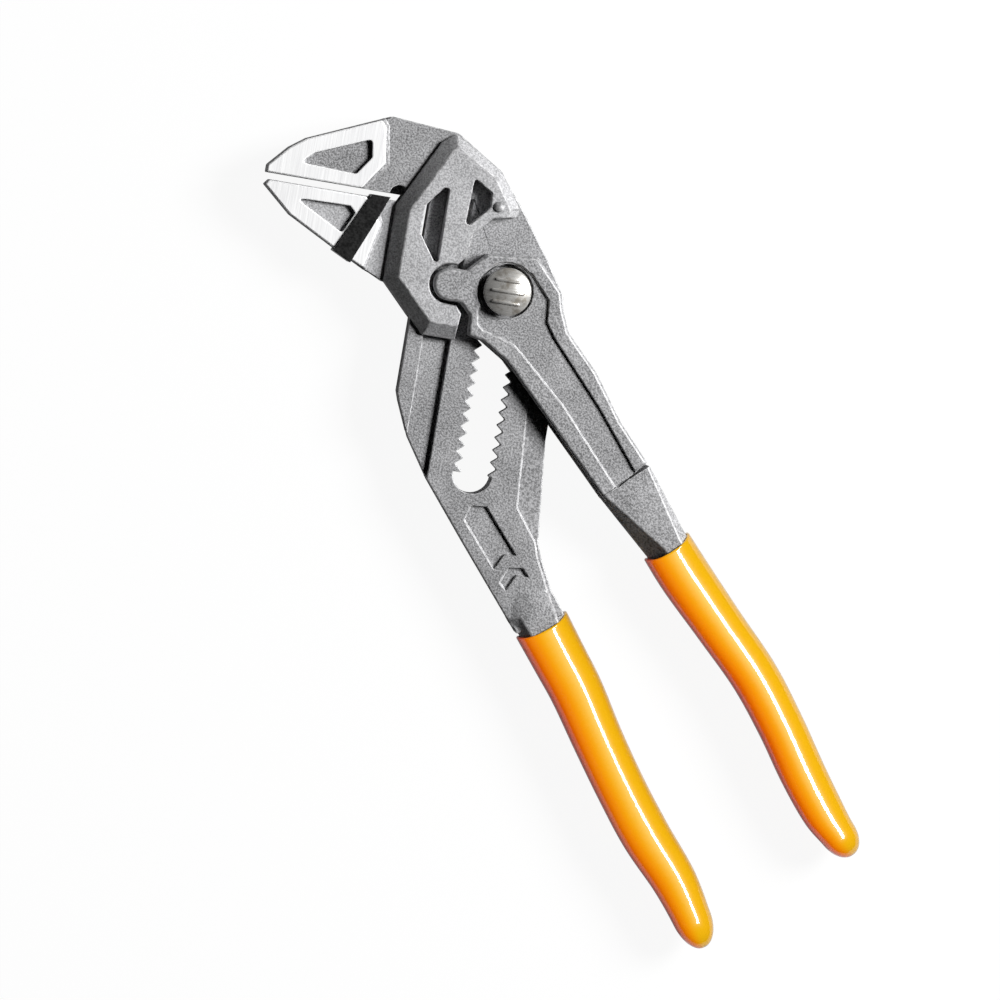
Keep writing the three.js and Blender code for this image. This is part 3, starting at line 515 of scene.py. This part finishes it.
# Dipped sleeve: up its bore, over a round lip, down its outside and shut at a round tip
def sleeve(g, given):
    line = g.node("GeometryNodeMeshToCurve", {}, {"Mesh": given["Geometry"]})
    line = g.node("GeometryNodeCurveSplineType", {"spline_type": "CATMULL_ROM"}, {"Curve": line})
    length = g.node("GeometryNodeCurveLength", {}, {"Curve": line})
    flat, u, turn = sheet(g, 150, 65)
    shut_end = 0.02
    bore_end = 0.06
    lip_end = 0.14
    shut = u.ramp(0.0, shut_end)
    lip_turn = u.ramp(bore_end, lip_end) * math.pi
    outside = (u.ramp(lip_end, 1.0) * (math.pi / 2)).call("SINE")
    wall = given["Wall"]
    lip = wall * 0.5 * (1 - lip_turn.call("SINE"))
    inset = wall * 0.5 * (1 + lip_turn.call("COSINE"))
    bore = (1 - u.ramp(shut_end, bore_end)) * given["Bore depth"]
    reach = lip + bore + outside * (length - wall * 0.5)
    tip = ((reach - length + given["Tip length"]) / given["Tip length"]).call("MAXIMUM", 0.0)
    shrink = (1 - tip * tip).call("MAXIMUM", 0.0).call("SQRT")
    thin = 1 - reach / length * 0.2
    wide = rounded_off(turn.call("COSINE"))
    deep = rounded_off(turn.call("SINE"))
    fade = 1 - (reach / given["Bow reach"]).call("MINIMUM", 1.0)
    bowed = reach + given["Mouth bow"] * deep * deep * fade * shut
    half = g.node("GeometryNodeInputNamedAttribute", {"data_type": "FLOAT"}, {"Name": "half"})
    ask = {"Curves": line, "Value": half, "Length": bowed}
    width, centre, along = (
        g.node("GeometryNodeSampleCurve", {"mode": "LENGTH"}, ask, output)
        for output in ("Value", "Position", "Tangent")
    )
    x, y, _ = g.split(along)
    across = g.combine(y * -1.0, x, 0.0)
    out = g.vector("SCALE", across, shut * wide * (width * shrink - inset))
    rise = g.combine(0.0, 0.0, shut * deep * (given["Half thickness"] * thin * shrink - inset))
    spot = g.vector("ADD", centre, g.vector("ADD", out, rise))
    # The across value is stored for the vinyl's painted shade, one side of the sleeve darker.
    ask = {"Geometry": flat, "Name": "lit_side", "Value": wide}
    flat = g.node("GeometryNodeStoreNamedAttribute", {"data_type": "FLOAT", "domain": "POINT"}, ask)
    shaped = g.node("GeometryNodeSetPosition", {}, {"Geometry": flat, "Position": spot})
    return g.node("GeometryNodeMergeByDistance", {}, {"Geometry": shaped, "Distance": MERGE})


def dipped_sleeve(name, line):
    points = [(x * MM, y * MM, MID * MM) for x, y, _ in line]
    inputs = {
        "Wall": 1 * MM,
        "Bore depth": 7 * MM,
        "Tip length": math.dist(line[-1][:2], line[-2][:2]) * MM,
        "Mouth bow": 1.5 * MM,
        "Bow reach": 14 * MM,
        "Half thickness": 7.2 * MM,
    }
    core = chain(name, points, [half * MM for _, _, half in line])
    return grown(name, core, sleeve, inputs, VINYL)


# Coil round the chain's line, at the chain's half width
def coil(g, given):
    line = g.node("GeometryNodeMeshToCurve", {}, {"Mesh": given["Geometry"]})
    line = g.node("GeometryNodeResampleCurve", {}, {"Curve": line, "Count": 97})
    turn = g.node("GeometryNodeSplineParameter", output="Factor") * given["Turns"] * math.tau
    half = g.node("GeometryNodeInputNamedAttribute", {"data_type": "FLOAT"}, {"Name": "half"})
    _, _, z = g.split(g.node("GeometryNodeInputPosition"))
    spot = g.combine(half * turn.call("COSINE"), half * turn.call("SINE"), z)
    line = g.node("GeometryNodeSetPosition", {}, {"Geometry": line, "Position": spot})
    ask = {"Resolution": 12, "Radius": given["Wire radius"]}
    wire = g.node("GeometryNodeCurvePrimitiveCircle", {}, ask)
    ask = {"Curve": line, "Profile Curve": wire, "Fill Caps": True}
    return g.node("GeometryNodeCurveToMesh", {}, ask)


def cone_spring():
    low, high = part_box("button_spring")
    wire = SPRING_WIRE * MM
    points = [(0, 0, low[2] + wire), (0, 0, high[2] - wire)]
    core = chain("cone_spring", points, [half * MM for half in SPRING_HALVES])
    inputs = {"Turns": SPRING_TURNS, "Wire radius": wire}
    return grown("cone_spring", core, coil, inputs, POLISHED)


def dome_height(share):
    return BUTTON_EDGE + BUTTON_DOME * (1 - share * share)


# Turned cap with a rounded rim, and ribs that follow its dome
def ribbed_cap(g, given):
    rim = g.node("GeometryNodeMeshToCurve", {}, {"Mesh": given["Geometry"]})
    ask = {"Curve": rim, "Radius": given["Rim radius"], "Limit Radius": True, "Count": 6}
    rim = g.node("GeometryNodeFilletCurve", {"mode": "POLY"}, ask)
    flat, u, turn = sheet(g, 110, 73)
    ask = {"Curves": rim, "Factor": u}
    x, _, z = g.split(g.node("GeometryNodeSampleCurve", {"mode": "FACTOR"}, ask, "Position"))
    spot = g.combine(x * turn.call("COSINE"), x * turn.call("SINE"), z)
    cap = g.node("GeometryNodeSetPosition", {}, {"Geometry": flat, "Position": spot})
    radius = given["Radius"]
    step = RIB_SPACING * MM
    ask = {"Count": RIB_COUNT, "Start Location": (0, -step, 0), "Offset": (0, step, 0)}
    row = g.node("GeometryNodeMeshLine", {"mode": "OFFSET"}, ask)
    bar = g.node("GeometryNodeCurvePrimitiveLine", {}, {"Start": (-1, 0, 0), "End": (1, 0, 0)})
    bar = g.node("GeometryNodeResampleCurve", {}, {"Curve": bar, "Count": 40})
    _, off, _ = g.split(g.node("GeometryNodeInputPosition"))
    reach = (radius * radius - off * off).call("SQRT") - given["Rib margin"]
    ask = {"Points": row, "Instance": bar, "Scale": g.combine(reach, 1.0, 1.0)}
    bars = g.node("GeometryNodeInstanceOnPoints", {}, ask)
    bars = g.node("GeometryNodeRealizeInstances", {}, {"Geometry": bars})
    x, y, _ = g.split(g.node("GeometryNodeInputPosition"))
    height = BUTTON_EDGE * MM + given["Dome"] * (1 - (x * x + y * y) / (radius * radius))
    ask = {"Geometry": bars, "Position": g.combine(x, y, height)}
    bars = g.node("GeometryNodeSetPosition", {}, ask)
    share = g.node("GeometryNodeSplineParameter", output="Factor") * 2 - 1
    taper = (1 - share ** 14).call("MAXIMUM", 0.0).call("SQRT")
    ask = {"Resolution": 12, "Radius": given["Rib radius"]}
    ring = g.node("GeometryNodeCurvePrimitiveCircle", {}, ask)
    ask = {"Curve": bars, "Profile Curve": ring, "Scale": taper}
    ribs = g.node("GeometryNodeCurveToMesh", {}, ask)
    both = g.tree.nodes.new("GeometryNodeJoinGeometry")
    g.tree.links.new(ribs.socket, both.inputs[0])
    g.tree.links.new(cap.socket, both.inputs[0])
    joined = Value(g.tree, both.outputs[0])
    return g.node("GeometryNodeMergeByDistance", {}, {"Geometry": joined, "Distance": MERGE})


def button_cap():
    inner = BUTTON_RADIUS - BUTTON_WALL
    profile = [
        (0, SOCKET_TOP),
        (SOCKET_RADIUS, SOCKET_TOP),
        (SOCKET_RADIUS, BUTTON_CEILING),
        (inner, BUTTON_CEILING),
        (inner, BUTTON_LOW),
        (BUTTON_RADIUS, BUTTON_LOW),
    ]
    steps = 16
    for i in range(steps + 1):
        share = 1 - i / steps
        profile.append((BUTTON_RADIUS * share, dome_height(share)))
    points = [(x * MM, 0, z * MM) for x, z in profile]
    inputs = {
        "Radius": BUTTON_RADIUS * MM,
        "Dome": BUTTON_DOME * MM,
        "Rim radius": 0.6 * MM,
        "Rib margin": 1.9 * MM,
        "Rib radius": RIB_RADIUS * MM,
    }
    core = chain("button_cap", points, [0.0] * len(points))
    return grown("button_cap", core, ribbed_cap, inputs, POLISHED)


def carried(piece, node, body):
    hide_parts(node)
    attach(piece, body)


carried(dressed("fixed_jaw_lever", "fixed_lever_forging", FORGING_BREAK, FORGED, WORN_AND_SHEEN, GROUND),
        "fixed_jaw_lever", "fixed_jaw")
carried(dressed("sliding_jaw", "sliding_jaw_forging", FORGING_BREAK, PLATE, WORN_AND_SHEEN, GROUND),
        "sliding_jaw", "sliding_jaw")
carried(dressed("pivot_lever", "pivot_lever_forging", FORGING_BREAK, FORGED, WORN_AND_SHEEN),
        "pivot_lever", "pivot_lever")
carried(dressed("jaw_band", "jaw_strap", BAND_BREAK, RUBBER, RUBBER),
        "jaw_band", "sliding_jaw")
carried(dressed("cheek_rivet", "cheek_rivet_head", RIVET_BREAK, WORN_AND_SHEEN, WORN_AND_SHEEN),
        "cheek_rivet", "sliding_jaw")
carried(button_cap(), "push_button", "bolt")
carried(dressed("hinge_bolt", "bolt_turning", BOLT_BREAK, WORN_AND_SHEEN, WORN_AND_SHEEN),
        "hinge_bolt", "bolt")
sleeves = [dipped_sleeve("fixed_sleeve", FIXED_LINE), dipped_sleeve("pivot_sleeve", PIVOT_LINE)]
carried(sleeves[0], "fixed_grip", "fixed_jaw")
carried(sleeves[1], "pivot_grip", "pivot_lever")
spring = cone_spring()
carried(spring, "button_spring", "carriage")
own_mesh(spring)
washer_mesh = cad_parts["spring_washer"].data
washer_mesh.materials.clear()
washer_mesh.materials.append(POLISHED)


FLOOR_GREY = (0.45, 0.45, 0.45)
FLOOR_WHITE_SHARE = 0.88
FLOOR_MIRRORED_SHARE = 0.2
FLOOR_GLOW = 1.06


# Pale floor, white to the camera, with the tool's shadow on it
def studio_floor():
    mesh = bpy.data.meshes.new("studio_floor")
    half = 6.0
    low = -0.0006
    corners = [(-half, -half, low), (half, -half, low), (half, half, low), (-half, half, low)]
    mesh.from_pydata(corners, [], [(0, 1, 2, 3)])
    material = finish("studio_floor", lambda s: {"Base Color": FLOOR_GREY, "Roughness": 0.9})
    tree = material.node_tree
    graph = Graph(tree)
    seen = graph.node("ShaderNodeLightPath", output="Is Camera Ray") * FLOOR_WHITE_SHARE
    for ray in ("Is Glossy Ray", "Is Transmission Ray"):
        mirrored = graph.node("ShaderNodeLightPath", output=ray) * FLOOR_MIRRORED_SHARE
        seen = seen.call("MAXIMUM", mirrored)
    white = graph.node("ShaderNodeEmission", {}, {"Strength": FLOOR_GLOW})
    lit = Value(tree, tree.nodes["Principled BSDF"].outputs[0])
    mixed = graph.node("ShaderNodeMixShader", {}, {0: seen, 1: lit, 2: white})
    tree.links.new(mixed.socket, tree.nodes["Material Output"].inputs["Surface"])
    mesh.materials.append(material)
    floor = bpy.data.objects.new("studio_floor", mesh)
    bpy.context.scene.collection.objects.link(floor)


PHOTO_UP = Vector((-0.1685, 0.9857, 0.0))
PHOTO_RIGHT = Vector((0.9857, 0.1685, 0.0))
AIM = Vector((8.3, -57.9, 13.7)) * MM
FRAME_WIDTH = 0.2803
DISTANCE = 1.7
SENSOR = 36
TILT_UP = math.radians(3.4)
TILT_LEFT = math.radians(5)


def aimed(thing, place, target, up):
    back = (place - target).normalized()
    right = up.cross(back).normalized()
    over = back.cross(right)
    turn = Matrix((right, over, back)).transposed()
    thing.matrix_world = Matrix.Translation(place) @ turn.to_4x4()


def camera():
    lens = bpy.data.cameras.new("camera")
    lens.sensor_width = SENSOR
    lens.lens = SENSOR * DISTANCE / FRAME_WIDTH
    lens.clip_end = 50
    holder = bpy.data.objects.new("camera", lens)
    bpy.context.scene.collection.objects.link(holder)
    lean = PHOTO_UP * math.tan(TILT_UP) - PHOTO_RIGHT * math.tan(TILT_LEFT)
    back = (Vector((0, 0, 1)) + lean).normalized()
    aimed(holder, AIM + back * DISTANCE, AIM, PHOTO_UP)
    bpy.context.scene.camera = holder


# Softbox that lights the sleeves alone, or all but the sleeves
def softbox(name, offset, size, power, sleeve_state):
    lamp = bpy.data.lights.new(name, "AREA")
    lamp.shape = "RECTANGLE"
    lamp.size, lamp.size_y = size
    lamp.energy = power
    holder = bpy.data.objects.new(name, lamp)
    bpy.context.scene.collection.objects.link(holder)
    right, up, height = offset
    place = AIM + PHOTO_RIGHT * right + PHOTO_UP * up + Vector((0, 0, height))
    aimed(holder, place, AIM, PHOTO_UP)
    lit = bpy.data.collections.new(name + "_reach")
    for piece in sleeves:
        lit.objects.link(piece)
    holder.light_linking.receiver_collection = lit
    for entry in lit.collection_objects:
        entry.light_linking.link_state = sleeve_state
    return holder


# Lamps, and a world that is brighter towards the photo's right
def studio():
    softbox("key", (0.9, 0.3, 0.75), (0.45, 0.45), 31.0, "EXCLUDE")
    softbox("strip", (0.4, 0.15, 1.3), (0.14, 1.2), 20.0, "INCLUDE")
    fill = softbox("fill", (-0.9, -0.2, 0.9), (0.9, 0.9), 4.0, "INCLUDE")
    fill.visible_glossy = False
    world = bpy.data.worlds.new("studio")
    world.use_nodes = True
    graph = Graph(world.node_tree)
    heading = graph.node("ShaderNodeTexCoord", output="Generated")
    lit_side = graph.vector("DOT_PRODUCT", heading, tuple(PHOTO_RIGHT))
    level = lit_side.smooth(0.0, 1.0) * 0.6 + 0.025
    background = world.node_tree.nodes["Background"]
    world.node_tree.links.new(level.socket, background.inputs["Strength"])
    bpy.context.scene.world = world
    bpy.context.scene.view_settings.view_transform = "Standard"


studio_floor()
camera()
studio()
